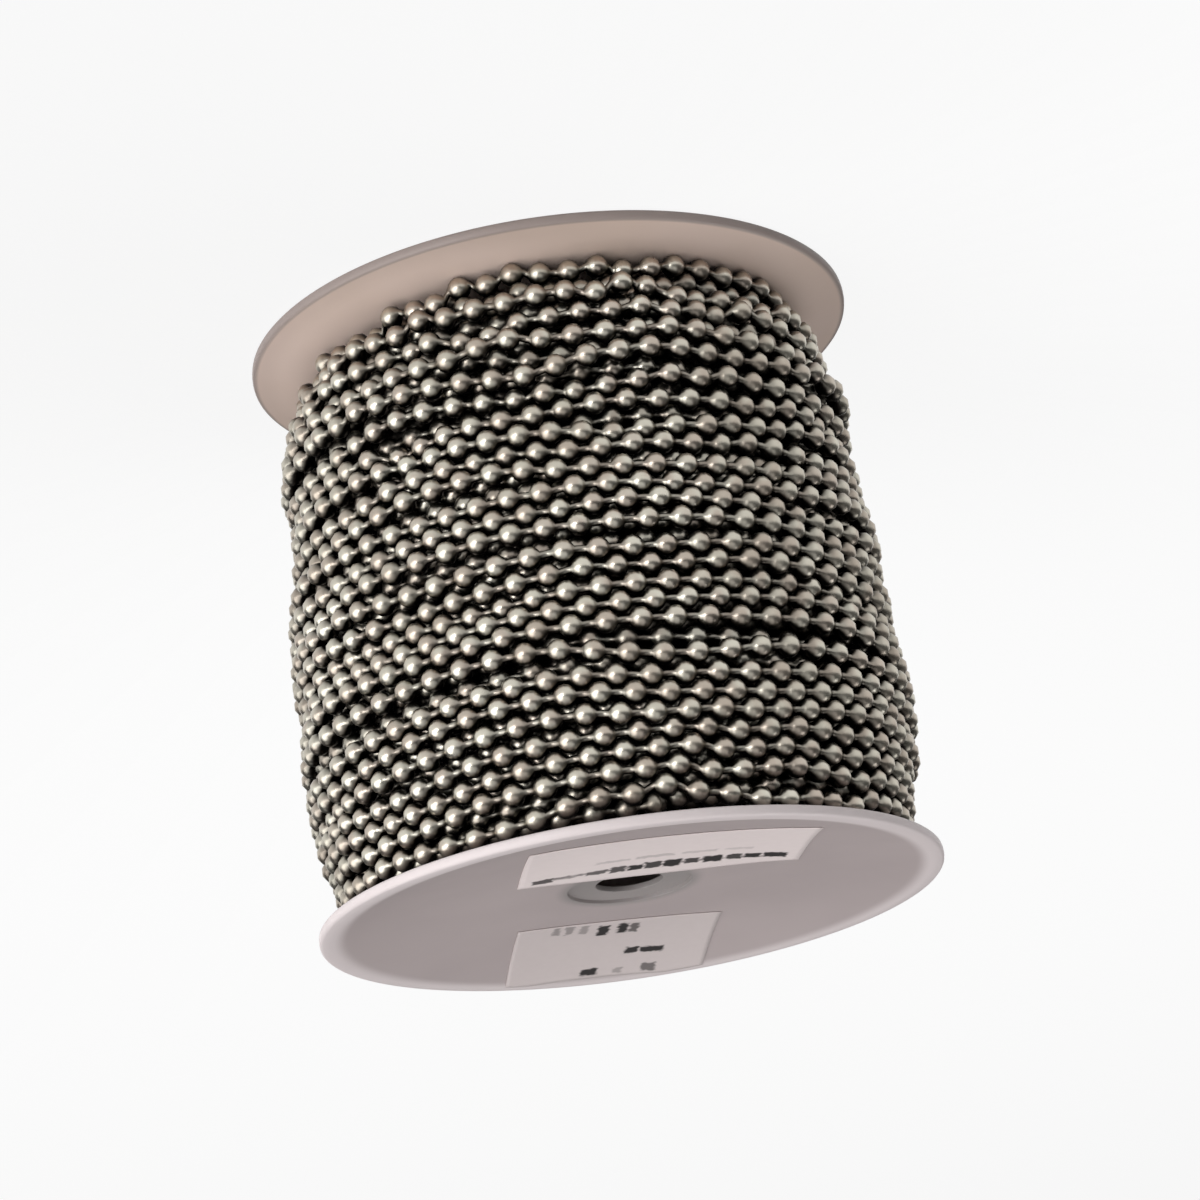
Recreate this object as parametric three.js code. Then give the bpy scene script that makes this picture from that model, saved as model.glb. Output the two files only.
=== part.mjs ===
// A reel of metal ball chain for roller blinds: a plastic spool of two dished flanges on a core tube,
// the chain wound on it, and two paper stickers on the upper flange.
// Millimetres, +Z up. The reel stands on its plain flange: its axis is Z and the rim's plane is z = 0.
import * as THREE from "three";

// Spool
const REEL_HEIGHT = 118.4; // between the rim planes of the two flanges
const FLANGE_RADIUS = 60;
const FLANGE_WALL = 2;
const RIM_LIP_WIDTH = 2.5; // the flat ring that the reel stands on
const DISH_DEPTH = 4.6; // how far the flange's middle lies behind the rim's plane
const HUB_RADIUS = 22; // the flange's flat middle
const RECESS_RADIUS = 12; // shallow recess round the bore
const RECESS_DEPTH = 0.8;
const BORE_RADIUS = 6.5;
const CORE_RADIUS = 20;
const CORE_WALL = 2;
const SPIGOT_WALL = 1.6; // the flange's collar that the core tube slips over
const SPIGOT_LENGTH = 8;

// Chain
const BEAD_DIAMETER = 4.5;
const BEAD_SPACING = 6; // from bead to bead along the chain
const LINK_DIAMETER = 1.2; // the wire between two beads
const GROOVE_DEPTH = 3.9; // how far the groove between two turns lies under the beads' tops
const TURN_SLANT = 2.2; // how far a hand-guided turn strays up and down on its way round
const SLANT_PER_TURN = 0.33; // how much further round each next turn has its high side, in radians
// How far the winding's top lies inside the rim, at even steps from the plain flange to the labelled
// one; at its fullest it stands a little proud.
const WINDING_INSETS = [10, 6.4, 3.6, 4.4, 3.4, 2.1, 1.2, 1.8, -0.5, 1, 3.6, 3.4];

// Stickers: the bearing of each one's middle, seen from above, and its distance from the rim, its size
// across and along, and its turn; angles are in degrees.
const PAPER_THICKNESS = 0.12;
const PRODUCT_STICKER = { bearing: -109, inset: 35.6, width: 54, length: 26, turn: -8 };
const SIZE_STICKER = { bearing: 82, inset: 22.2, width: 41, length: 25, turn: -10.3 };

const CLEARANCE = 0.3; // between pieces that lie against each other
const SPOOL_SEGMENTS = 36;
const DISH_STEPS = 3;
const INNER_SEGMENTS = 24; // round the winding's hidden faces
const FACE_EDGE = 1; // the hidden faces' rings keep this far inside the winding's edge
const STICKER_CELLS = 4;
const BEAD_SHARE = 0.6; // where a turn's beads lie between the groove below and the groove above

const hubHeight = DISH_DEPTH + FLANGE_WALL; // the inner side of a flange's middle, over its rim's plane
const lipRadius = FLANGE_RADIUS - RIM_LIP_WIDTH;
const woundRadii = WINDING_INSETS.map((inset) => FLANGE_RADIUS - inset);
const meanBeadRadius = (Math.min(...woundRadii) + Math.max(...woundRadii) - BEAD_DIAMETER) / 2;
const beadsPerTurn = Math.round((2 * Math.PI * meanBeadRadius) / BEAD_SPACING);

// How far a flange's outer face lies behind its rim's plane: a shallow bowl between hub and lip.
function dishDepth(radius) {
  const share = THREE.MathUtils.clamp((radius - HUB_RADIUS) / (lipRadius - HUB_RADIUS), 0, 1);
  return DISH_DEPTH * (1 - share * share);
}

// The radii at which the bowl is drawn, from hub to lip, both ends counted.
const dishRadii = Array.from({ length: DISH_STEPS + 1 }, (_, i) =>
  THREE.MathUtils.lerp(HUB_RADIUS, lipRadius, i / DISH_STEPS),
);

// A ring turned round Z from a closed profile of [radius, height] pairs that runs anticlockwise.
function turned(profile) {
  const points = [...profile, profile[0]].map(([radius, height]) => new THREE.Vector2(radius, height));
  return new THREE.LatheGeometry(points, SPOOL_SEGMENTS).rotateX(Math.PI / 2);
}

// Section of the flange whose rim stands on z = 0: recess, bowl and lip below, collar above.
function flangeProfile() {
  const collarOuter = CORE_RADIUS - CORE_WALL - CLEARANCE;
  const collarInner = collarOuter - SPIGOT_WALL;
  const bowl = dishRadii.map((radius) => [radius, dishDepth(radius)]);
  const innerBowl = bowl.map(([radius, height]) => [radius, height + FLANGE_WALL]).reverse();
  return [
    [BORE_RADIUS, DISH_DEPTH + RECESS_DEPTH],
    [RECESS_RADIUS, DISH_DEPTH + RECESS_DEPTH],
    [RECESS_RADIUS, DISH_DEPTH],
    ...bowl,
    [FLANGE_RADIUS, 0],
    [FLANGE_RADIUS, FLANGE_WALL],
    ...innerBowl,
    [collarOuter, hubHeight],
    [collarOuter, hubHeight + SPIGOT_LENGTH],
    [collarInner, hubHeight + SPIGOT_LENGTH],
    [collarInner, hubHeight],
    [BORE_RADIUS, hubHeight],
  ];
}

function plainFlange() {
  return turned(flangeProfile());
}

// The same moulding upside down at the reel's top.
function labelledFlange() {
  return turned(flangeProfile().map(([radius, height]) => [radius, REEL_HEIGHT - height]).reverse());
}

function coreTube() {
  const inner = CORE_RADIUS - CORE_WALL;
  return turned([
    [inner, hubHeight],
    [CORE_RADIUS, hubHeight],
    [CORE_RADIUS, REEL_HEIGHT - hubHeight],
    [inner, REEL_HEIGHT - hubHeight],
  ]);
}

// The height over the plain flange's rim plane at which the winding rests on the flange.
function restHeight(radius) {
  return dishDepth(radius) + FLANGE_WALL + CLEARANCE;
}

// The winding's outer radius, blended softly between the measured radii; share 0 is the plain end.
function woundRadius(share) {
  const place = THREE.MathUtils.clamp(share, 0, 1) * (woundRadii.length - 1);
  const step = Math.min(Math.floor(place), woundRadii.length - 2);
  const blend = THREE.MathUtils.smoothstep(place - step, 0, 1);
  return THREE.MathUtils.lerp(woundRadii[step], woundRadii[step + 1], blend);
}

// A closed ring of points round Z; at(angle, index) gives a point's radius and height.
function ring(count, firstAngle, at) {
  return Array.from({ length: count }, (_, index) => {
    const angle = firstAngle + (2 * Math.PI * index) / count;
    const { radius, height } = at(angle, index);
    return { angle, point: [radius * Math.cos(angle), radius * Math.sin(angle), height] };
  });
}

// Joins ring after ring, and the last to the first, with triangles whose faces point outwards.
function skin(rings) {
  const positions = rings.flat().flatMap(({ point }) => point);
  const starts = rings.map((_, i) => rings.slice(0, i).reduce((sum, r) => sum + r.length, 0));
  const faces = [];
  // The angle halfway to the ring's next point: the ring whose halfway angle comes first steps on.
  const halfway = (points, i) => points[0].angle + (2 * Math.PI * (i + 0.5)) / points.length;
  rings.forEach((lower, k) => {
    const next = (k + 1) % rings.length;
    const upper = rings[next];
    const low = (i) => starts[k] + (i % lower.length);
    const high = (j) => starts[next] + (j % upper.length);
    for (let i = 0, j = 0; i < lower.length || j < upper.length; ) {
      const lowerFirst = i < lower.length && halfway(lower, i) <= halfway(upper, j);
      if (lowerFirst || j === upper.length) {
        faces.push(low(i), low(i + 1), high(j));
        i += 1;
      } else {
        faces.push(high(j + 1), high(j), low(i));
        j += 1;
      }
    }
  });
  return new THREE.BufferGeometry()
    .setAttribute("position", new THREE.Float32BufferAttribute(positions, 3))
    .setIndex(faces);
}

// The chain's turns as one solid: a row of beads and links for each visible turn, grooves between them,
// flat faces along both flanges and a bore round the core tube.
function woundChain() {
  const low = restHeight(woundRadii[0] - GROOVE_DEPTH);
  const high = REEL_HEIGHT - restHeight(woundRadii.at(-1) - GROOVE_DEPTH);
  const turns = Math.floor((high - low) / BEAD_DIAMETER);
  const linkSink = (BEAD_DIAMETER - LINK_DIAMETER) / 2;
  const half = Math.PI / beadsPerTurn; // from a bead to the link beside it

  // A point of the outer surface; row counts turns from the plain end and may lie between two.
  const surface = (row, sink) => (angle, index) => {
    const share = row / turns;
    const slant = TURN_SLANT * Math.sin(Math.PI * share) * Math.sin(angle + SLANT_PER_TURN * row);
    const height = THREE.MathUtils.lerp(low, high, share) + slant;
    return { radius: woundRadius((height - low) / (high - low)) - sink(index), height };
  };
  const groove = (row, shift) => ring(beadsPerTurn, shift * half, surface(row, () => GROOVE_DEPTH));

  // Beads of one turn lie over the links of the turn below.
  const rows = [groove(0, 0)];
  for (let turn = 0; turn < turns; turn++) {
    const isBead = (index) => (index + turn) % 2 === 0;
    rows.push(ring(2 * beadsPerTurn, 0, surface(turn + BEAD_SHARE, (i) => (isBead(i) ? 0 : linkSink))));
    rows.push(groove(turn + 1, (turn + 1) % 2));
  }

  const innerRadius = (CORE_RADIUS + CLEARANCE) / Math.cos(Math.PI / INNER_SEGMENTS);
  const faceRings = (outerRadius, heightAt) => {
    const bends = dishRadii.filter((radius) => radius > innerRadius && radius < outerRadius - FACE_EDGE);
    return [innerRadius, ...bends].map((radius) =>
      ring(INNER_SEGMENTS, 0, () => ({ radius, height: heightAt(radius) })),
    );
  };
  const plainFace = faceRings(woundRadii[0] - GROOVE_DEPTH, restHeight);
  const labelledFace = faceRings(
    woundRadii.at(-1) - GROOVE_DEPTH,
    (radius) => REEL_HEIGHT - restHeight(radius),
  );
  return skin([...rows, ...labelledFace.reverse(), ...plainFace]);
}

// A paper sticker that follows the labelled flange's bowl.
function sticker({ bearing, inset, width, length, turn }) {
  const middle = new THREE.Vector2(FLANGE_RADIUS - inset, 0);
  middle.rotateAround(new THREE.Vector2(), THREE.MathUtils.degToRad(bearing));
  const angle = THREE.MathUtils.degToRad(turn);
  const sheet = new THREE.BoxGeometry(width, length, PAPER_THICKNESS, STICKER_CELLS, STICKER_CELLS, 1);
  const position = sheet.getAttribute("position");
  for (let i = 0; i < position.count; i++) {
    const u = position.getX(i);
    const v = position.getY(i);
    const x = middle.x + u * Math.cos(angle) - v * Math.sin(angle);
    const y = middle.y + u * Math.sin(angle) + v * Math.cos(angle);
    const underside = REEL_HEIGHT - dishDepth(Math.hypot(x, y)) + CLEARANCE;
    position.setXYZ(i, x, y, underside + PAPER_THICKNESS / 2 + position.getZ(i));
  }
  return sheet;
}

const whitePlastic = { color: 0xd9d0d0, roughness: 0.45, metalness: 0 };
const nickelPlate = { color: 0xb9b2a6, roughness: 0.28, metalness: 1 };
const corePlastic = { color: 0xb5adab, roughness: 0.6, metalness: 0 };
const paper = { color: 0xd6cfd1, roughness: 0.6, metalness: 0 };

const reel = new THREE.Group();

function add(name, geometry, finish) {
  const mesh = new THREE.Mesh(geometry, new THREE.MeshStandardMaterial(finish));
  mesh.name = name;
  reel.add(mesh);
}

add("plain_flange", plainFlange(), whitePlastic);
add("labelled_flange", labelledFlange(), whitePlastic);
add("core_tube", coreTube(), corePlastic);
add("wound_chain", woundChain(), nickelPlate);
add("product_sticker", sticker(PRODUCT_STICKER), paper);
add("size_sticker", sticker(SIZE_STICKER), paper);

export default reel;
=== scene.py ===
# %% [markdown]
# # A reel of metal ball chain
#
# The object is a reel as a blind maker keeps on the bench: about fifty metres of nickel-plated ball
# chain, 4.5 mm balls every 6 mm, wound in hand-guided turns on a white plastic spool. Two dished flanges
# hold the chain, and two paper stickers lie on the upper one.
#
# The lesson dresses a packed solid model of the reel. Each visible piece is a surface worked out with
# numpy: a profile turned round the reel's axis, a paper sheet laid on a bowl, and above all the chain, a
# profile of balls and links carried along one very long path. The path isn't drawn. It is laid down
# roughly and then pulled tight, as the real chain was.

import bmesh
import bpy
import numpy as np
from mathutils import Matrix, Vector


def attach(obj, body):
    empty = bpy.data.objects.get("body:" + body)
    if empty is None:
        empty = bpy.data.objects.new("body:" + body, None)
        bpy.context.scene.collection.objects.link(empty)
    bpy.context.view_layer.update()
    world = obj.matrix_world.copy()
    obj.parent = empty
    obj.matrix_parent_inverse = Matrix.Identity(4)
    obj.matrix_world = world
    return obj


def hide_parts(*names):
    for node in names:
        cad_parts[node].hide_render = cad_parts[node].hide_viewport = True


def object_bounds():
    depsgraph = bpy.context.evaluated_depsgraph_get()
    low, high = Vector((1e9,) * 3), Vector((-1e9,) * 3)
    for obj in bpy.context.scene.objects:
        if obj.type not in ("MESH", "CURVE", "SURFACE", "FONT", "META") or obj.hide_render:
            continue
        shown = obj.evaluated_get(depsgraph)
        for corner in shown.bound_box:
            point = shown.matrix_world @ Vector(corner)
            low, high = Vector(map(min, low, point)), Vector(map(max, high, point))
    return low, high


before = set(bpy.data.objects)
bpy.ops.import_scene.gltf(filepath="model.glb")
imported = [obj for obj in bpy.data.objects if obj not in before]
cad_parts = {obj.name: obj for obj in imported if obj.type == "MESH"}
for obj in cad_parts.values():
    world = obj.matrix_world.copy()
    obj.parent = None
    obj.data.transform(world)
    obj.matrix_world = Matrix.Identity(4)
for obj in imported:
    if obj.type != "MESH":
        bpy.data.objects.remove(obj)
solid_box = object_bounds()
print("solids:", sorted(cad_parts))

# %% [markdown]
# ## Sizes
#
# A spool like this is measured with a rule and a caliper, so the sizes are written in millimetres, as a
# maker would note them. Blender works in metres, and a mesh is scaled once, where it is made. The height
# comes from the solids. The row of radii says how full the spool is at even steps from one flange to the
# other. It was read from the winding's outline, which bulges where the turns pile up.

# %% Sizes in millimetres
MM = 0.001
HEIGHT = round(solid_box[1][2] / MM, 1)
RIM, LIP, HUB, RECESS, BORE = 60.0, 57.5, 22.0, 12.0, 6.5
DISH, WALL, RECESS_DEPTH = 4.6, 2.0, 0.8
CORE_OUT, CORE_IN, COLLAR_OUT, COLLAR_IN, COLLAR = 20.0, 18.0, 17.7, 16.1, 8.0
BALL, PITCH, WIRE = 4.5, 6.0, 1.2
FULLNESS = np.array([52.5, 53.6, 56.4, 55.6, 56.6, 57.9, 58.8, 58.2, 60.3, 59, 56.4, 56.6])
NOTED_LOW, NOTED_HIGH = 4.5, HEIGHT - 3.1


def dish(r):
    """How far a flange's face lies behind its rim: a parabola from the hub out to the lip."""
    s = np.clip((r - HUB) / (LIP - HUB), 0, 1)
    return DISH * (1 - s * s)


def eased_between(place, values):
    """The value at a place in a row of values: 2.25 lies between values 2 and 3, and the share f on the
    way to the next value is eased to 3f^2 - 2f^3."""
    step = np.minimum(place.astype(int), len(values) - 2)
    f = place - step
    f = f * f * (3 - 2 * f)
    return values[step] * (1 - f) + values[step + 1] * f


def fullness(z):
    """The winding's outer radius at height z, eased between the noted radii."""
    share = np.clip((z - NOTED_LOW) / (NOTED_HIGH - NOTED_LOW), 0, 1)
    return eased_between(share * (len(FULLNESS) - 1), FULLNESS)


print("spool", 2 * RIM, "mm across and", HEIGHT, "mm high")

# %% [markdown]
# ## Camera
#
# The reel was photographed lying on its side, from a little above, and the picture was turned. Here the
# reel stands on its end, so the camera takes up all of the turning: it looks down by about 19 degrees and
# is rolled almost upside down. Its position and its three directions come from fitting the two rims'
# ellipses, and they go straight into its matrix. The same fit gives the focal length in pixels.

# %% Camera
EYE = np.array([0.0, -644.51, 277.57])
RIGHT = (-0.98903, 0.04465, 0.14078)
UP = (-0.14764, -0.32248, -0.93499)
BACK = (0.00365, -0.94552, 0.32553)
SENSOR, FOCAL_PIXELS, PICTURE_PIXELS = 36.0, 3468.7, 1200


def pose(directions, place):
    """A matrix whose columns are three directions and a place in millimetres."""
    columns = np.eye(4)
    columns[:3, :3] = np.array(directions).T
    columns[:3, 3] = place * MM
    return Matrix(columns.tolist())


view = bpy.data.cameras.new("camera")
view.sensor_width = SENSOR
view.lens = SENSOR * FOCAL_PIXELS / PICTURE_PIXELS
view.clip_start, view.clip_end = 0.05, 50.0
camera = bpy.data.objects.new("camera", view)
camera.matrix_world = pose([RIGHT, UP, BACK], EYE)
bpy.context.scene.collection.objects.link(camera)
bpy.context.scene.camera = camera
print("camera lens", round(view.lens, 1), "mm")

# %% [markdown]
# ## Meshes from grids
#
# Everything here is a grid of points that is bent into shape. A grid may close on itself across, along or
# both. Points and faces go into the mesh as whole arrays, because a winding has hundreds of thousands of
# points, and setting them one by one takes minutes.

# %% Grid helpers


def grid_faces(rows, cols, wrap_rows=False, wrap_cols=False):
    """Four-cornered faces of a grid of points, numbered row by row, row i joined to row i + 1."""
    i = np.arange(rows if wrap_rows else rows - 1)[:, None]
    j = np.arange(cols if wrap_cols else cols - 1)[None, :]
    up, across = (i + 1) % rows, (j + 1) % cols
    corners = np.broadcast_arrays(i * cols + j, i * cols + across, up * cols + across, up * cols + j)
    return np.stack(corners, axis=-1).reshape(-1, 4)


def make_piece(name, points, faces):
    """A smooth-shaded object at the origin from points in millimetres and an array of four-cornered
    faces."""
    mesh = bpy.data.meshes.new(name)
    mesh.vertices.add(len(points))
    mesh.vertices.foreach_set("co", (np.asarray(points) * MM).astype(np.float32).ravel())
    mesh.loops.add(faces.size)
    mesh.loops.foreach_set("vertex_index", faces.astype(np.int32).ravel())
    mesh.polygons.add(len(faces))
    mesh.polygons.foreach_set("loop_start", np.arange(0, faces.size, 4, dtype=np.int32))
    mesh.polygons.foreach_set("loop_total", np.full(len(faces), 4, dtype=np.int32))
    mesh.update(calc_edges=True)
    mesh.validate()
    mesh.polygons.foreach_set("use_smooth", np.full(len(mesh.polygons), True))
    made = bpy.data.objects.new(name, mesh)
    bpy.context.scene.collection.objects.link(made)
    return made


def turned(profile, segments=240):
    """A profile of [radius, height] points carried round the axis: (r cos a, r sin a, z). The profile is
    closed and runs anticlockwise, so its faces look outwards."""
    a = np.linspace(0, 2 * np.pi, segments, endpoint=False)[None, :]
    r, z = profile[:, 0][:, None], profile[:, 1][:, None]
    points = np.stack([r * np.cos(a), r * np.sin(a), z + 0 * a], axis=-1).reshape(-1, 3)
    return points, grid_faces(len(profile), segments, wrap_rows=True, wrap_cols=True)


print("a ring of 240 by 20 points has", len(grid_faces(20, 240, True, True)), "faces")

# %% [markdown]
# ## Laying the chain
#
# The chain went onto the spool in turns: up, down and up again, a layer over a layer. Its turns are
# neither level nor even, because a hand guided them. The start is a rough helix per layer, whose height
# sways slowly along the chain. From one layer to the next the chain climbs by one slanting link. Drawing
# the turns by hand would never give the small crossings and gaps of a real winding, and a physics engine
# would be slow with four thousand balls. So the next cells pull the strand tight themselves.

# %% The strand's start
LAYERS, LAYER_STEP, LAYER_LIFT = 3, 3.7, 0.6
FIRST_ROW, LAST_ROW = 7.0, HEIGHT - 5.8
ROW, CROWDING = 4.1, 0.14
SWAY, SWAY_BALLS = 0.6, 18
SLANT, SLANT_START, SLANT_DRIFT, SLANT_PER_LAYER = 1.3, 1.0, 2.6, 1.2
FADE, CLIMB = 7, 0.7


def lay_turns(seed):
    """Ball centres of the whole strand. In a layer the height is s + CROWDING s (1 - s) of the way up at
    the share s of the strand, so the turns crowd towards the labelled end. Added to it are a slant
    SLANT sin(angle + phase) and a sway that eases between random values every few balls. Both fade out
    over the first and the last 1/FADE of a layer, and the next layer starts CLIMB of a pitch further on."""
    draw = np.random.default_rng(seed)
    runs, angle = [], 0.0
    for layer in range(LAYERS):
        under = (LAYERS - 1 - layer) * LAYER_STEP
        middle = fullness(np.linspace(FIRST_ROW, LAST_ROW, 400)).mean() - BALL / 2 - under
        count = int((LAST_ROW - FIRST_ROW) / ROW * 2 * np.pi * middle / PITCH)
        s = np.linspace(0, 1, count)
        s = 1 - s if layer % 2 else s
        a = angle + np.arange(count) * PITCH / middle
        angle = a[-1] + CLIMB * PITCH / middle
        knots = draw.normal(0, SWAY, count // SWAY_BALLS + 3)
        sway = eased_between(np.arange(count) / SWAY_BALLS, knots)
        slant = SLANT * np.sin(a + SLANT_START + SLANT_DRIFT * s + SLANT_PER_LAYER * layer)
        inside = np.clip(np.minimum(s, 1 - s) * FADE, 0, 1)
        z = FIRST_ROW + (LAST_ROW - FIRST_ROW) * (s + CROWDING * s * (1 - s)) + inside * (slant + sway)
        r = fullness(z) - BALL / 2 - under + LAYER_LIFT * layer
        runs.append(np.c_[r * np.cos(a), r * np.sin(a), z])
    return np.vstack(runs), [len(run) for run in runs]


laid, run_lengths = lay_turns(seed=4)
print("balls in each layer:", run_lengths)

# %% [markdown]
# ## Balls that may touch
#
# Testing each of four thousand balls against all others would take too long. A table of small cells, of
# angle and height, holds the balls by place, and a ball is tested only against those in its own cell and
# the eight round it.

# %% Neighbours
INNERMOST = 42.0


def near_pairs(p, reach):
    """Index pairs of balls closer than reach. The cells are reach wide at about the innermost balls."""
    cols = int(2 * np.pi * INNERMOST / reach)
    turn = np.arctan2(p[:, 1], p[:, 0]) / (2 * np.pi) % 1
    col = (turn * cols).astype(int) % cols
    row = (p[:, 2] / reach).astype(int) + 1
    rows = row.max() + 2
    cell = col * rows + row
    order = np.argsort(cell, kind="stable")
    first = np.searchsorted(cell[order], np.arange(cols * rows + 1))
    most = int(np.diff(first).max())
    table = np.full((cols * rows, most), -1)
    table[cell[order], np.arange(len(p)) - first[cell[order]]] = order
    found = []
    for across in (-1, 0, 1):
        for up in (-1, 0, 1):
            j = table[(col + across) % cols * rows + row + up].ravel()
            i = np.repeat(np.arange(len(p)), most)
            i, j = i[j > i], j[j > i]
            close = ((p[i] - p[j]) ** 2).sum(axis=1) < reach * reach
            found.append(np.c_[i[close], j[close]])
    return np.vstack(found)


def outwards(p):
    """Unit vectors away from the axis, and each point's distance from it."""
    r = np.hypot(p[:, 0], p[:, 1])
    return np.c_[p[:, 0] / r, p[:, 1] / r, np.zeros(len(p))], r


print("pairs nearer than a ball and a half:", len(near_pairs(laid, 1.5 * BALL)))

# %% [markdown]
# ## Pulling it tight
#
# Tension draws each ball towards the axis. Three things resist: a link lets two neighbours lie between
# 5.5 and 6 mm apart, two balls can't overlap, and the drum and the flanges hold them. Each step moves all
# balls inwards a little and then mends these rules in turn, every ball moving by the mean of its
# corrections. After a few hundred steps the balls lie in each other's hollows as real ones do.

# %% Settling
SHORTEST = 5.5
ROOM_UNDER = 1.5
MARGIN, PAIRS_EVERY = 1.2, 10
MENDS, EAGERNESS = 3, 1.4
FAINT_PULL = 0.004


def drum(z):
    """Radius of the deeper turns, which the loose layers lie on."""
    return fullness(z) - BALL - (LAYERS - 1) * LAYER_STEP - ROOM_UNDER


def mend_spacing(p, i, j):
    """Links and touching balls put right. A link of length d is mended by (d - PITCH) / 2 at each end
    where it is too long, and by (d - SHORTEST) / 2 where its wire has slid all the way into the balls;
    an overlap BALL - d of the balls i and j is mended by half at each."""
    n = len(p)
    move, hits = np.zeros_like(p), np.zeros(n)
    d = p[1:] - p[:-1]
    length = np.linalg.norm(d, axis=1)
    mend = d * ((length - np.clip(length, SHORTEST, PITCH)) / length / 2)[:, None]
    move[:-1] += mend
    move[1:] -= mend
    hits[:-1] += 1
    hits[1:] += 1
    d = p[j] - p[i]
    length = np.maximum(np.linalg.norm(d, axis=1), 1e-6)
    over = np.clip(BALL - length, 0, None)
    mend = d * (over / length / 2)[:, None]
    for axis in range(3):
        move[:, axis] += np.bincount(j, mend[:, axis], n) - np.bincount(i, mend[:, axis], n)
    hits += np.bincount(i, over > 0, n) + np.bincount(j, over > 0, n)
    return p + move * (EAGERNESS / np.maximum(hits, 1))[:, None]


def push_back(p):
    """Balls pushed straight out of the drum and off the flanges."""
    out, r = outwards(p)
    p = p + out * np.clip(drum(p[:, 2]) + BALL / 2 - r, 0, None)[:, None]
    floor = dish(r) + WALL + BALL / 2
    p[:, 2] = np.clip(p[:, 2], floor, HEIGHT - floor)
    return p


def pull_tight(p, steps=320, pull=0.05):
    """Moves the balls inwards step by step, each step by less, and mends what that breaks."""
    for step in range(steps):
        if step % PAIRS_EVERY == 0:
            pairs = near_pairs(p, BALL + MARGIN)
            i, j = pairs[pairs[:, 1] - pairs[:, 0] > 1].T
        p = p - outwards(p)[0] * (pull * (1 - step / steps) + FAINT_PULL)
        for _ in range(MENDS):
            p = push_back(mend_spacing(p, i, j))
    return p


balls = pull_tight(laid)
links = np.linalg.norm(np.diff(balls, axis=0), axis=1)
print("links from", links.min().round(2), "to", links.max().round(2), "mm")

# %% [markdown]
# ## Back to the outline
#
# Pulled tight, the winding keeps its bulges but no longer lies quite at the noted radii. Simply scaling
# it would squash the balls, so each height's balls are shifted outwards or inwards together instead. The
# shift leaves a few overlaps, and the same mending opens them, this time with hardly any pull. Balls that
# still stand proud are eased in, and those next to a flange most, because there the turns lie flush.

# %% Fit the winding's outline
FULLEST = 60.15
PROUD, SPARE, FLUSH, KNEE = 1.1, 1.6, 1.2, 1.0
END, END_EASE = 6.0, 8.0
BAND_FROM, BAND_TO, BAND, BAND_HALF = 6.0, HEIGHT - 4, 5.0, 3.5
OUTER_TENTH = 90


def held_in(p):
    """Eases balls in from the winding's limit: above a knee 1 mm below it, x more millimetres become
    1 - e^-x of them. The limit lies SPARE above the noted radius in the middle, comes down to FLUSH
    below it next to a flange, and is nowhere above FULLEST."""
    out, r = outwards(p)
    away = np.clip((np.minimum(p[:, 2], HEIGHT - p[:, 2]) - END) / END_EASE, 0, 1)
    limit = np.minimum(fullness(p[:, 2]) + SPARE * away - FLUSH * (1 - away), FULLEST)
    over = np.maximum(r - (limit - BALL / 2 - KNEE), 0)
    return p + out * (1 - np.exp(-over) - over)[:, None]


def fit_outline(p):
    """Shifts balls radially so that the winding's outside follows the noted radii. Those are the mean of a
    scalloped outline, so in each band the shift brings the outermost tenth PROUD of the noted radius."""
    out, r = outwards(p)
    bands = np.arange(BAND_FROM, BAND_TO, BAND)
    tops = np.array([np.percentile(r[np.abs(p[:, 2] - b) < BAND_HALF], OUTER_TENTH) for b in bands])
    shift = np.interp(p[:, 2], bands, fullness(bands) + PROUD - BALL / 2 - tops)
    return held_in(p + out * shift[:, None])


balls = held_in(pull_tight(fit_outline(balls), steps=16, pull=0.0))
print("outermost ball reaches", (outwards(balls)[1].max() + BALL / 2).round(2), "mm")

# %% [markdown]
# ## The chain itself
#
# A ball of this chain is rolled from thin steel strip round the ends of two short wires, so the chain is
# balls strung on stubs of wire. As one surface it is a round section carried along the path, whose radius
# swells and shrinks: narrow on the wire, wide across the ball. One swept surface for a run of turns keeps
# the links between the balls, which separate ball meshes would leave out, and it stays light: forty to
# seventy faces for each ball. Each point also notes how high it lies on the chain's outer side, from
# which the finish later paints shade onto a ball's flanks and leaves its crest light.

# %% The swept surface
STATIONS = np.array([-2.12, -1.7, -0.9, 0.0, 0.9, 1.7, 2.12])
# The links' crest value is held up, so that the painted shade leaves them lighter than a ball's sides.
WIRE_CREST = 0.58
ONE_PLACE = 1e-7


def strand_frames(p):
    """Three unit vectors at each ball: along the chain, to its side, and out from the reel's axis."""
    along = np.gradient(p, axis=0)
    along /= np.linalg.norm(along, axis=1)[:, None]
    side = np.cross(outwards(p)[0], along)
    side /= np.linalg.norm(side, axis=1)[:, None]
    return along, side, np.cross(along, side)


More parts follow.
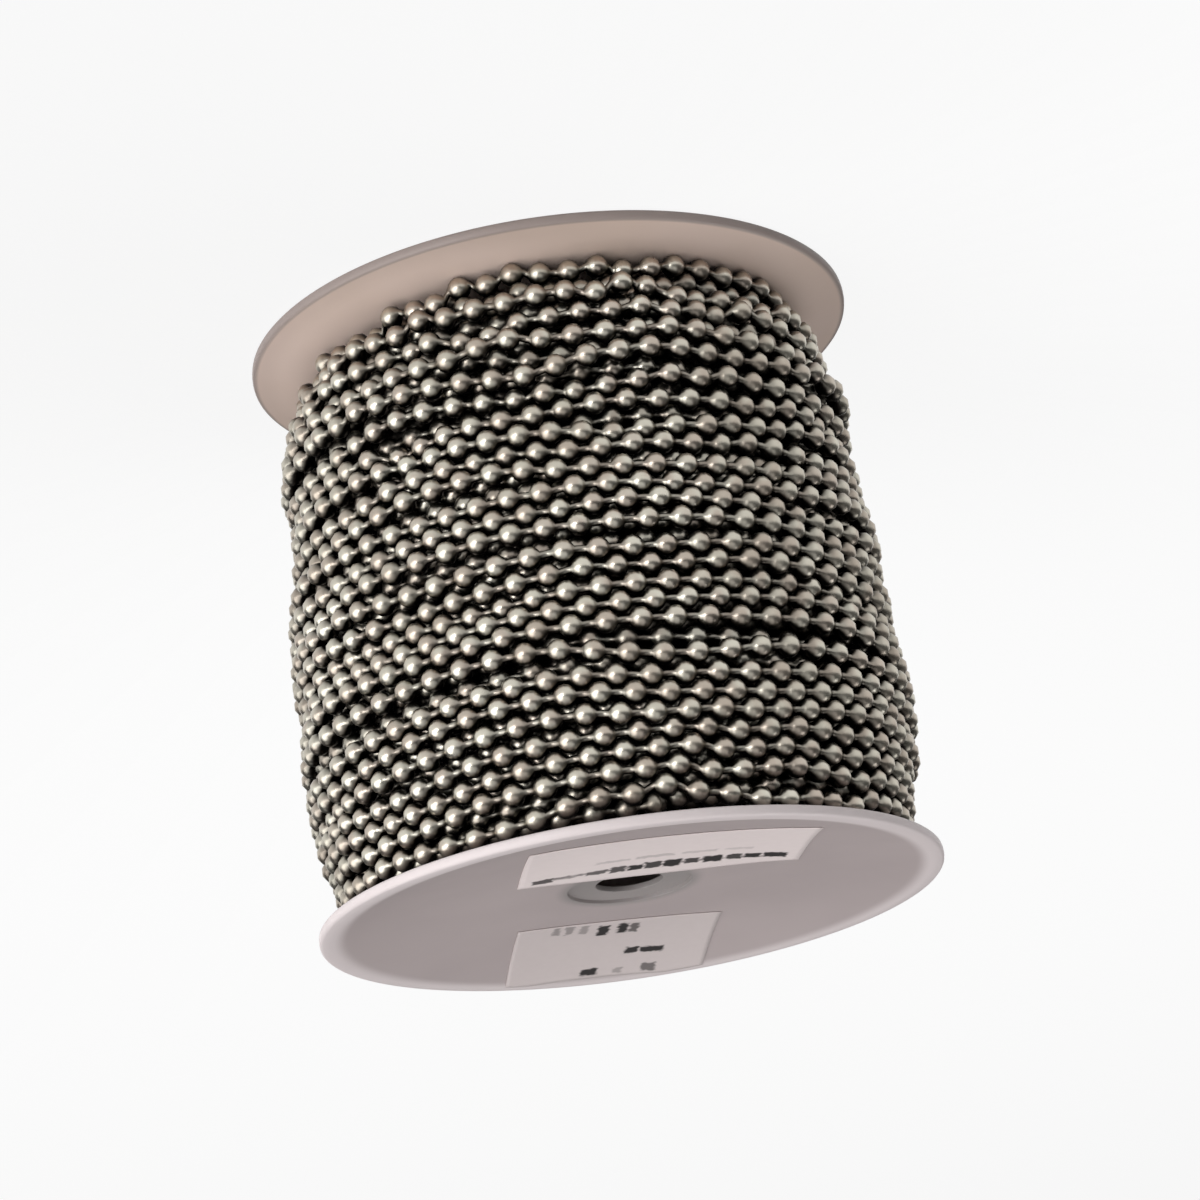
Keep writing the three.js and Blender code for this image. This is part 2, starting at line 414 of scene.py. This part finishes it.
def chain_surface(frames, stations, sides, skip_first, skip_last):
    """Rings across the chain at the given distances s before and after each ball's centre, with radius
    sqrt((BALL/2)^2 - s^2), joined ball after ball. A ring's point is
    centre + s along + radius (cos a side + sin a out). A run that goes on in the next one skips the rings
    of that half ball, so that both meet at the ball's middle. Each end closes in one point."""
    p, along, side, out = frames
    radius = np.sqrt(np.maximum((BALL / 2) ** 2 - stations ** 2, (WIRE / 2) ** 2))
    centres = p[:, None, :] + along[:, None, :] * stations[None, :, None]
    a = np.linspace(0, 2 * np.pi, sides, endpoint=False)
    ring = side[:, None, :] * np.cos(a)[None, :, None] + out[:, None, :] * np.sin(a)[None, :, None]
    points = centres[:, :, None, :] + ring[:, None, :, :] * radius[None, :, None, None]
    height = np.maximum(radius / BALL * 2, WIRE_CREST)
    crest = np.broadcast_to(np.sin(a) * height[:, None], points.shape[:3])
    rows, crest = points.reshape(-1, sides, 3), crest.reshape(-1, sides)
    kept = slice(skip_first, len(rows) - skip_last)
    rows, crest = rows[kept], crest[kept]
    ends = np.repeat(rows[[0, -1]].mean(axis=1)[:, None, :], sides, axis=1)
    rows = np.concatenate([ends[:1], rows, ends[1:]])
    crest = np.concatenate([crest[:1], crest, crest[-1:]])
    return rows.reshape(-1, 3), grid_faces(len(rows), sides, wrap_cols=True), crest.ravel()


def merge_poles(piece):
    """Points in one place become one, which closes each end in a point."""
    mesh = bmesh.new()
    mesh.from_mesh(piece.data)
    bmesh.ops.remove_doubles(mesh, verts=mesh.verts, dist=ONE_PLACE)
    mesh.to_mesh(piece.data)
    mesh.free()


print("rings for each ball:", len(STATIONS))

# %% Sweep the layers
DEPTHS = ("inner", "middle", "outer")
FINE, COARSE = (STATIONS, 10), (STATIONS[[0, 1, 3, 5, 6]], 8)


def chain_run(name, first, last, stations, sides):
    """The chain from ball first to ball last, where the next run starts, or to the strand's last ball."""
    frames = [values[first:last + 1] for values in (balls, *ball_frames)]
    half = len(stations) // 2
    skips = half if first else 0, half if last < len(balls) else 0
    points, faces, crest = chain_surface(frames, stations, sides, *skips)
    made = make_piece(name, points, faces)
    noted = made.data.attributes.new("crest", "FLOAT", "POINT")
    noted.data.foreach_set("value", crest.astype(np.float32))
    merge_poles(made)
    return made


ball_frames = strand_frames(balls)
chain_pieces = []
start = 0
for depth, length in zip(DEPTHS, run_lengths):
    form = COARSE if depth == "inner" else FINE
    middle, end = start + length // 2, start + length
    chain_pieces.append((chain_run(f"chain_{depth}_turns_a", start, middle, *form), depth))
    chain_pieces.append((chain_run(f"chain_{depth}_turns_b", middle, end, *form), depth))
    start = end
print("chain pieces:", [(piece.name, len(piece.data.polygons)) for piece, _ in chain_pieces])

# %% [markdown]
# ## The deeper turns
#
# Under the three layers lie many more that only show as darkness between the balls. They are one turned
# piece with a groove for each row: cheap, and it stops the eye from looking through to the core.

# %% The deeper turns
DEEP_POINTS, DEEP_ROW, DEEP_SEGMENTS = 180, 4.0, 120
DEEP_GAP, DEEP_GROOVE, CORE_GAP = 0.4, 1.6, 0.3

deep_z = FIRST_ROW + (HEIGHT - 2 * FIRST_ROW) * np.linspace(0, 1, DEEP_POINTS)
ripple = np.abs(np.sin(np.pi * deep_z / DEEP_ROW))
outside = np.c_[drum(deep_z) - DEEP_GAP - DEEP_GROOVE * (1 - ripple), deep_z]
inside = [[CORE_OUT + CORE_GAP, deep_z[-1]], [CORE_OUT + CORE_GAP, deep_z[0]]]
deep_turns = make_piece("chain_deep_turns", *turned(np.vstack([outside, inside]), DEEP_SEGMENTS))
chain_pieces.append((deep_turns, "deep"))
print("deep turns:", len(deep_turns.data.polygons), "faces")

# %% [markdown]
# ## Spool
#
# The spool is moulded plastic in three parts: two flanges and a tube between them. A flange is a shallow
# bowl, so that only its rim touches the table. Its section is short to write, and turning it round the
# axis gives the whole piece. The corners are eased, because a moulded edge is never sharp, and the eased
# edge catches the thin light line that the rim shows.

# %% Flanges and core


def eased(corners, steps=4):
    """A closed profile with its corners eased: a corner C with radius q becomes the curve
    (1-t)^2 A + 2t(1-t) C + t^2 B between the points A and B that lie q before and after it."""
    points = np.array([c[:2] for c in corners], float)
    ease = np.array([c[2] if len(c) > 2 else 0.0 for c in corners])[:, None]
    before, after = np.roll(points, 1, axis=0) - points, np.roll(points, -1, axis=0) - points
    a = points + before / np.linalg.norm(before, axis=1)[:, None] * ease
    b = points + after / np.linalg.norm(after, axis=1)[:, None] * ease
    t = np.linspace(0, 1, steps)[:, None, None]
    curve = ((1 - t) ** 2 * a + 2 * t * (1 - t) * points + t * t * b).transpose(1, 0, 2)
    rounded = ease[:, 0] > 0
    return np.vstack([curve[k] if rounded[k] else points[k:k + 1] for k in range(len(points))])


INSIDE, RECESS_FLOOR = DISH + WALL, DISH + RECESS_DEPTH
bowl_radii = np.linspace(HUB, LIP, 12)
bowl = [(r, dish(r)) for r in bowl_radii]
inner_bowl = [(r, dish(r) + WALL) for r in bowl_radii[::-1]]
flange_profile = eased([
    (BORE, RECESS_FLOOR, 0.2), (RECESS, RECESS_FLOOR, 0.15), (RECESS, DISH, 0.25), *bowl,
    (RIM, 0, 0.7), (RIM, WALL, 0.7), *inner_bowl,
    (COLLAR_OUT, INSIDE, 0.3), (COLLAR_OUT, INSIDE + COLLAR, 0.4),
    (COLLAR_IN, INSIDE + COLLAR, 0.4), (COLLAR_IN, INSIDE, 0.3), (BORE, INSIDE, 0.2),
])
core_profile = eased([
    (CORE_IN, INSIDE, 0.2), (CORE_OUT, INSIDE, 0.2),
    (CORE_OUT, HEIGHT - INSIDE, 0.2), (CORE_IN, HEIGHT - INSIDE, 0.2),
])
plain_flange = make_piece("spool_plain_flange", *turned(flange_profile))
upside_down = (flange_profile * [1, -1] + [0, HEIGHT])[::-1]
labelled_flange = make_piece("spool_labelled_flange", *turned(upside_down))
core = make_piece("spool_core", *turned(core_profile, 96))
print("flange section:", len(flange_profile), "points")

# %% [markdown]
# ## Stickers
#
# Two paper stickers lie on the bowl of the upper flange. A sticker is a flat rectangle pressed onto a
# curved face, so its grid is laid out flat first, turned and moved to its place, and then dropped onto
# the bowl. A live Solidify gives the paper its thickness. The grid's own two coordinates are kept as a UV
# map in millimetres, which the print follows.

# %% Stickers
PAPER, PAPER_LIFT, PAPER_REACH, UNDER_RIM = 0.12, 0.2, 57.0, 0.02


def sticker(name, bearing, inset, width, length, turn):
    """A rectangle (u, v) turned by the given degrees, with its middle m at a bearing and inset from the
    rim: a point is m + u (cos t, sin t) + v (-sin t, cos t), at height HEIGHT - dish + PAPER_LIFT, and
    always UNDER_RIM below the rim's plane. Where the far edge would climb the lip, the sheet is trimmed
    along the circle PAPER_REACH: its v ends at
    sqrt(PAPER_REACH^2 - |q|^2 + (q.V)^2) - q.V, with q the column's point at v = 0 and V the v direction."""
    b, t = np.radians(bearing), np.radians(turn)
    along, across = np.array([np.cos(t), np.sin(t)]), np.array([-np.sin(t), np.cos(t)])
    u = np.linspace(-width / 2, width / 2, 45)
    column = (RIM - inset) * np.array([np.cos(b), np.sin(b)]) + u[:, None] * along
    lean = column @ across
    far = np.sqrt(PAPER_REACH ** 2 - (column ** 2).sum(axis=1) + lean ** 2) - lean
    far = np.minimum(far, length / 2)
    v = -length / 2 + np.linspace(0, 1, 31)[:, None] * (far + length / 2)
    flat = column + v[:, :, None] * across
    z = np.minimum(HEIGHT - dish(np.linalg.norm(flat, axis=2)) + PAPER_LIFT, HEIGHT - UNDER_RIM)
    points = np.concatenate([flat, z[:, :, None]], axis=2).reshape(-1, 3)
    made = make_piece(name, points, grid_faces(*v.shape))
    sheet = np.stack([np.broadcast_to(u, v.shape), v], axis=-1).reshape(-1, 2)
    corner = np.zeros(len(made.data.loops), np.int32)
    made.data.loops.foreach_get("vertex_index", corner)
    made.data.uv_layers.new(name="sheet").data.foreach_set("uv", sheet[corner].astype(np.float32).ravel())
    wall = made.modifiers.new("paper", "SOLIDIFY")
    wall.thickness, wall.offset = PAPER * MM, -1.0
    return made


product_sticker = sticker("sticker_upper", bearing=-109.6, inset=37.1, width=54, length=29, turn=-8)
size_sticker = sticker("sticker_lower", bearing=82, inset=19.9, width=41, length=30, turn=-10.3)
print("stickers:", product_sticker.name, size_sticker.name)

# %% [markdown]
# ## Materials as expressions
#
# A finish is a small graph of nodes, and written out node by node it is hard to read. One small class
# wraps a socket, so that 1 - mask or 0.2 + 0.3 * noise adds its Math nodes by itself. Every other node
# comes from one method, which takes the node's type, its settings and what goes into its sockets.

# %% Wires


class Wire:
    """One output socket of a finish. Expressions on wires add Math nodes."""

    def __init__(self, finish, socket):
        self.finish, self.socket = finish, socket

    def __add__(self, other):
        return self.finish.maths("ADD", self, other)

    __radd__ = __add__

    def __mul__(self, other):
        return self.finish.maths("MULTIPLY", self, other)

    __rmul__ = __mul__

    def __sub__(self, other):
        return self.finish.maths("SUBTRACT", self, other)

    def __rsub__(self, other):
        return self.finish.maths("SUBTRACT", other, self)

    def __abs__(self):
        return self.finish.maths("ABSOLUTE", self)

    def between(self, low, high):
        """0 below low, 1 above high, eased in between; with high before low it falls instead."""
        settings = {"interpolation_type": "SMOOTHSTEP"}
        inputs = {"Value": self, "From Min": low, "From Max": high}
        return self.finish.node("ShaderNodeMapRange", settings, inputs)


print("wires add, subtract and multiply as numbers do")

# %% Finishes


class Finish:
    """The nodes of a material or of the world. They are made by node(), and close() sends the last shader
    to the output."""

    def __init__(self, owner):
        owner.use_nodes = True
        self.owner, self.tree = owner, owner.node_tree
        self.tree.nodes.clear()

    def node(self, kind, settings=None, inputs=None, output=0):
        """A node of any type: settings first, then each socket's value or wire, by name or number."""
        made = self.tree.nodes.new(kind)
        for key, value in (settings or {}).items():
            setattr(made, key, value)
        for key, value in (inputs or {}).items():
            if isinstance(value, Wire):
                self.tree.links.new(value.socket, made.inputs[key])
            else:
                made.inputs[key].default_value = value
        return Wire(self, made.outputs[output]) if len(made.outputs) else made

    def maths(self, operation, *values):
        """A Math node on wires and numbers, such as SQRT or MAXIMUM."""
        return self.node("ShaderNodeMath", {"operation": operation}, dict(enumerate(values)))

    def highest(self, found, *others):
        """The highest of several wires at each point."""
        for other in others:
            found = self.maths("MAXIMUM", found, other)
        return found

    def parts(self, vector):
        """A vector's x, y and z."""
        first = self.node("ShaderNodeSeparateXYZ", None, {0: vector})
        return [Wire(self, socket) for socket in first.socket.node.outputs]

    def place(self):
        return self.node("ShaderNodeTexCoord", output="Object")

    def noise(self, scale, detail=2.0, where=None):
        inputs = {"Vector": where or self.place(), "Scale": scale, "Detail": detail}
        return self.node("ShaderNodeTexNoise", None, inputs)

    def mix(self, factor, a, b):
        """A colour between a and b."""
        return self.node("ShaderNodeMix", {"data_type": "RGBA"}, {0: factor, 6: a, 7: b}, output=2)

    def bump(self, height, strength, distance):
        inputs = {"Height": height, "Strength": strength, "Distance": distance}
        return self.node("ShaderNodeBump", None, inputs)

    def principled(self, **inputs):
        named = {key.replace("_", " "): value for key, value in inputs.items()}
        return self.close(self.node("ShaderNodeBsdfPrincipled", None, named))

    def close(self, shader, output="ShaderNodeOutputMaterial"):
        self.node(output, None, {"Surface": shader})
        return self.owner


def new_finish(name):
    return Finish(bpy.data.materials.new(name))


def rgb(red, green, blue, times=1.0):
    return (red * times, green * times, blue * times, 1.0)


print("a finish can make:", [name for name in vars(Finish) if not name.startswith("_")])

# %% [markdown]
# ## Nickel-plated steel
#
# The chain is steel with a thin nickel plate: a warm grey metal, neither mirror nor matt. The balls differ
# a little, since each is rolled on its own, and grease and dust dull them in patches. Noise about the size
# of a ball gives one ball a warmer tone than the next, and a finer noise breaks up the gloss. Shade is
# painted in too: a ball is light on its crest and nearly black down its sides, where its neighbours shade
# it, and the deeper a layer lies, the darker it is painted.

# %% Chain metal


def steel_finish(name, painted_depth_brightness):
    """Nickel plate: warm grey on a ball's crest, with painted shade darkening it down its sides. The last
    argument dims the whole ball as painted shade for a deeper layer."""
    steel = new_finish(name)
    patch = steel.noise(230.0, 1.0).between(0.35, 0.65)
    dust = steel.noise(38.0, 3.0).between(0.35, 0.7)
    scuff = steel.noise(900.0, 2.0)
    crest = steel.node("ShaderNodeAttribute", {"attribute_name": "crest"}, output="Fac")
    tone = steel.mix(patch, rgb(0.53, 0.46, 0.39, painted_depth_brightness), rgb(0.67, 0.64, 0.55, painted_depth_brightness))
    tone = steel.mix(dust * 0.35, tone, rgb(0.37, 0.32, 0.25, painted_depth_brightness))
    # Painted shade: down a ball's sides the tone falls to nearly black.
    tone = steel.mix(crest.between(0.15, 0.95), rgb(0.012, 0.010, 0.009), tone)
    return steel.principled(Base_Color=tone, Metallic=1.0, Roughness=0.23 + 0.14 * scuff + 0.08 * dust)


def deep_finish(name):
    """Painted shade between the balls: the deeper turns' metal painted nearly black, in two close dark
    tones.
    """
    deep = new_finish(name)
    tone = deep.mix(deep.noise(150.0), rgb(0.03, 0.027, 0.024), rgb(0.06, 0.054, 0.047))
    return deep.principled(Base_Color=tone, Metallic=1.0, Roughness=0.5)


# The middle and inner layers are the same steel painted darker, as painted shade, and the deep turns are
# painted nearly black as the shade between the balls.
steels = {
    "outer": steel_finish("nickel_plated_steel", 1.0),
    "middle": steel_finish("nickel_plated_steel_lower_painted_shade", 0.65),
    "inner": steel_finish("nickel_plated_steel_lowest_painted_shade", 0.15),
    "deep": deep_finish("nickel_plated_steel_deep_painted_shade"),
}
print("steel:", [steel.name for steel in steels.values()])

# %% [markdown]
# ## Plastic
#
# The spool is white plastic moulded in one go, with a dull sheen. Old plastic is never one white: it
# clouds a little. Light and shade are painted in too: the labelled flange is painted darker and greyer
# than the plain one, with painted light on its lip, the plain one has painted shade on its edge, and both
# have painted shade round the bore. The lip and the bore's shade go by the distance from the reel's axis,
# which the finish works out from the Object coordinates.

# %% Plastic
# Painted shade round the bore: full inside 11.5 mm from the axis, gone by 15 mm.
BORE_SHADE_FROM, BORE_SHADE_TO = 0.0150, 0.0115
LIP_SHARE = 0.85


def radius_of(finish):
    """A point's distance from the reel's axis, the root of x^2 + y^2, in metres."""
    x, y, _ = finish.parts(finish.place())
    return finish.maths("SQRT", x * x + y * y)


def plastic_finish(name, shade_a, shade_b, shade_lip, lip):
    """Moulded white plastic: two close shades in soft clouds, a faint unevenness from the mould, shade_lip
    outside the two radii of lip as painted light and shade on the rim, and painted shade round the bore."""
    plastic = new_finish(name)
    cloud, flow = plastic.noise(22.0, 3.0), plastic.noise(120.0, 3.0)
    radius = radius_of(plastic)
    shade = plastic.mix(cloud.between(0.3, 0.7), shade_a, shade_b)
    shade = plastic.mix(radius.between(*lip) * LIP_SHARE, shade, shade_lip)
    # Painted shade in and round the recess at the bore.
    bore_shade = radius.between(BORE_SHADE_FROM, BORE_SHADE_TO) * (0.3 + 0.5 * cloud)
    shade = plastic.mix(bore_shade, shade, rgb(0.20, 0.20, 0.19))
    uneven = plastic.bump(flow, 0.15, 0.0004)
    return plastic.principled(Base_Color=shade, Roughness=0.42 + 0.14 * flow, Normal=uneven)


def core_finish(name):
    """The tube's plain plastic, in two close shades."""
    inner = new_finish(name)
    shade = inner.mix(inner.noise(40.0), rgb(0.50, 0.47, 0.45), rgb(0.60, 0.57, 0.55))
    return inner.principled(Base_Color=shade, Roughness=0.55)


# One white plastic in painted light and shade: the labelled flange darker and greyer with a painted light on
# its lip, the plain one lighter and warmer with a painted shade on its edge.
labelled_material = plastic_finish(
    "white_plastic_labelled", shade_a=rgb(0.455, 0.390, 0.388), shade_b=rgb(0.500, 0.430, 0.426),
    shade_lip=rgb(0.80, 0.72, 0.72), lip=(0.0545, 0.0575))
plain_material = plastic_finish(
    "white_plastic_plain", shade_a=rgb(0.74, 0.585, 0.50), shade_b=rgb(0.79, 0.63, 0.555),
    shade_lip=rgb(0.27, 0.225, 0.215), lip=(0.0588, 0.0598))
core_material = core_finish("core_plastic")
print("plastic:", labelled_material.name, plain_material.name, core_material.name)

# %% [markdown]
# ## Printed paper
#
# The stickers are smooth label paper. Their print is kept generic: dark bars of several lengths stand for
# rows of print, and nothing on them can be read. A bar is worked out from the sheet's UV map, which is in
# millimetres, so its place and size are written as on a drawing. A little noise on its edges makes the
# ink ragged, as a cheap printer leaves it, and a row may bow slightly.

# %% Paper and print
RAGGED, RAG_SIZE, EDGE = 1.5, 0.7, 0.4
INK = rgb(0.022, 0.018, 0.018)


def bars(finish, marks, bow):
    """Where a sheet is inked: each mark is a bar (u, v, half width, half height, ink) in millimetres, on a
    row that bends by bow u^2. A point is inked where |u - bar's u| + rag is under the half width, and the
    same for v."""
    sheet = finish.node("ShaderNodeUVMap", {"uv_map": "sheet"})
    u, v, _ = finish.parts(sheet)
    v = v - bow * (u * u)
    rag = RAGGED * (finish.noise(RAG_SIZE, 1.0, where=sheet) - 0.5)
    inked = []
    for at_u, at_v, half_u, half_v, ink in marks:
        wide = (abs(u - at_u) + rag).between(half_u + EDGE, half_u - EDGE)
        tall = (abs(v - at_v) + rag).between(half_v + EDGE, half_v - EDGE)
        inked.append(wide * tall * ink)
    return finish.highest(*inked)


def paper_finish(name, marks, bow, bright):
    """Smooth label paper: two close fibre shades, scaled by bright as painted light, and dark print bars."""
    paper = new_finish(name)
    fibre = paper.noise(600.0, 4.0)
    shade = paper.mix(fibre, rgb(0.66, 0.58, 0.57, bright), rgb(0.70, 0.62, 0.61, bright))
    shade = paper.mix(bars(paper, marks, bow), shade, INK)
    return paper.principled(Base_Color=shade, Roughness=0.6)


UPPER_MARKS = [
    (22.4, 8.2, 1.9, 1.3, 0.9), (18.4, 8.0, 2.4, 0.8, 0.6), (12.4, 7.8, 2.0, 1.3, 0.85),
    (8.4, 7.6, 1.5, 2.0, 0.9), (5.0, 7.7, 1.4, 1.7, 1.0), (1.8, 7.4, 1.6, 2.1, 0.95),
    (-1.9, 7.5, 1.7, 2.4, 1.0), (-5.6, 7.4, 1.4, 1.7, 0.95), (-9.6, 7.3, 1.9, 2.1, 1.0),
    (-13.6, 7.0, 1.6, 1.7, 0.95), (-17.4, 6.8, 1.7, 1.5, 1.0), (-21.8, 6.6, 2.3, 1.7, 1.0),
    (0.0, 7.6, 24.0, 0.6, 0.7),
    (10.0, 1.4, 3.2, 0.7, 0.25), (2.0, 1.2, 3.6, 0.8, 0.28),
    (-6.5, 1.3, 3.4, 0.7, 0.24), (-14.0, 1.0, 2.6, 0.7, 0.2),
]
LOWER_MARKS = [
    (12.4, -11.8, 0.7, 2.4, 0.5), (9.8, -11.6, 0.8, 2.5, 0.5), (6.8, -11.0, 0.8, 2.4, 0.45),
    (2.7, -9.4, 1.1, 3.0, 1.0), (-1.2, -9.8, 1.0, 3.0, 1.0), (-3.6, -9.4, 0.9, 2.6, 0.8),
    (-4.7, 3.4, 1.4, 1.5, 1.0), (-8.8, 3.5, 2.4, 1.3, 1.0),
    (3.3, 12.2, 1.7, 1.4, 1.0), (-2.7, 12.6, 0.9, 1.2, 0.4), (-9.1, 12.0, 1.4, 1.8, 0.75),
]
# One paper in painted light and shade: the upper sticker painted lighter, the lower one a little darker.
upper_paper = paper_finish("sticker_paper_upper", UPPER_MARKS, bow=0.0055, bright=1.26)
lower_paper = paper_finish("sticker_paper_lower", LOWER_MARKS, bow=0.0, bright=0.94)
print("paper:", upper_paper.name, lower_paper.name)

# %% [markdown]
# ## Each piece in its place
#
# The reel has no joints, so every piece rides on the one body. Each piece stands for the packed solid that
# it replaces, which is hidden, and is given its own finish.

# %% Hand the pieces to the frame


def hand_over(piece, node, material):
    """Gives a piece its finish and its body, and hides the solid that it stands for."""
    piece.data.materials.append(material)
    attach(piece, "root")
    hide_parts(node)


for piece, depth in chain_pieces:
    hand_over(piece, "wound_chain", steels[depth])
hand_over(plain_flange, "plain_flange", plain_material)
hand_over(labelled_flange, "labelled_flange", labelled_material)
hand_over(core, "core_tube", core_material)
hand_over(product_sticker, "product_sticker", upper_paper)
hand_over(size_sticker, "size_sticker", lower_paper)
print("pieces:", len(chain_pieces) + 5)

# %% [markdown]
# ## Table and light
#
# The picture has a plain white ground. The floor is a large pale ring that turns white towards the camera
# and in reflections, and still keeps the reel's shadow. It would be easy to burn it white with more light,
# but then the light would wash out the reel too. The world does the same: white to the camera, and dim to
# everything else, so that the lamps shape the balls.

# %% Floor
FLOOR_IN, FLOOR_OUT, FLOOR_TOP, FLOOR_BOTTOM = 10.0, 9000.0, -0.02, -0.5
FLOOR_GLOW = 0.9

floor_section = np.array([
    [FLOOR_IN, FLOOR_BOTTOM], [FLOOR_OUT, FLOOR_BOTTOM], [FLOOR_OUT, FLOOR_TOP], [FLOOR_IN, FLOOR_TOP]])
floor = make_piece("floor", *turned(floor_section, 64))
ground = new_finish("floor_white")
ray_kinds = ("Is Camera Ray", "Is Glossy Ray", "Is Transmission Ray")
seen = ground.highest(*[ground.node("ShaderNodeLightPath", output=kind) for kind in ray_kinds])
matt = ground.node("ShaderNodeBsdfDiffuse", None, {"Color": rgb(0.9, 0.9, 0.9)})
glow = ground.node("ShaderNodeEmission", None, {"Color": rgb(1, 1, 1), "Strength": 1.0})
both = ground.node("ShaderNodeMixShader", None, {0: seen * FLOOR_GLOW, 1: matt, 2: glow})
floor.data.materials.append(ground.close(both))

world = bpy.data.worlds.new("studio")
bpy.context.scene.world = world
room = Finish(world)
to_camera = room.node("ShaderNodeLightPath", output="Is Camera Ray")
white = room.node("ShaderNodeBackground", None, {"Color": rgb(1, 1, 1)})
dim = room.node("ShaderNodeBackground", None, {"Color": rgb(0.08, 0.08, 0.08)})
room.close(room.node("ShaderNodeMixShader", None, {0: to_camera, 1: dim, 2: white}), "ShaderNodeOutputWorld")
print("floor reaches", FLOOR_OUT / 1000, "m")

# %% [markdown]
# ## Lamps
#
# Five soft lamps light the reel as a studio would. The key and the side lamp make the small bright spot on
# each ball, the fill is large and faint, and the two from above light the labelled flange.

# %% Lamps
AIM = np.array([0, 0, HEIGHT / 2])


def lamp(name, place, size, power):
    """A round area lamp at place, looking at the reel's middle; place and size are in millimetres."""
    data = bpy.data.lights.new(name, "AREA")
    data.shape, data.size, data.energy = "DISK", size * MM, power
    made = bpy.data.objects.new(name, data)
    place = np.array(place, float)
    back = (place - AIM) / np.linalg.norm(place - AIM)
    side = np.cross([0, 0, 1], back)
    side /= np.linalg.norm(side)
    made.matrix_world = pose([side, np.cross(back, side), back], place)
    bpy.context.scene.collection.objects.link(made)


lamp("key", (400, -700, 60), size=380, power=2.5)
lamp("side", (750, -420, 380), size=950, power=5.9)
lamp("fill", (20, -560, 950), size=1500, power=3.5)
lamp("top left", (420, 380, 900), size=500, power=0.8)
lamp("top right", (-500, 300, 900), size=700, power=3.2)

# %% Close
bpy.context.scene.view_settings.view_transform = "Standard"
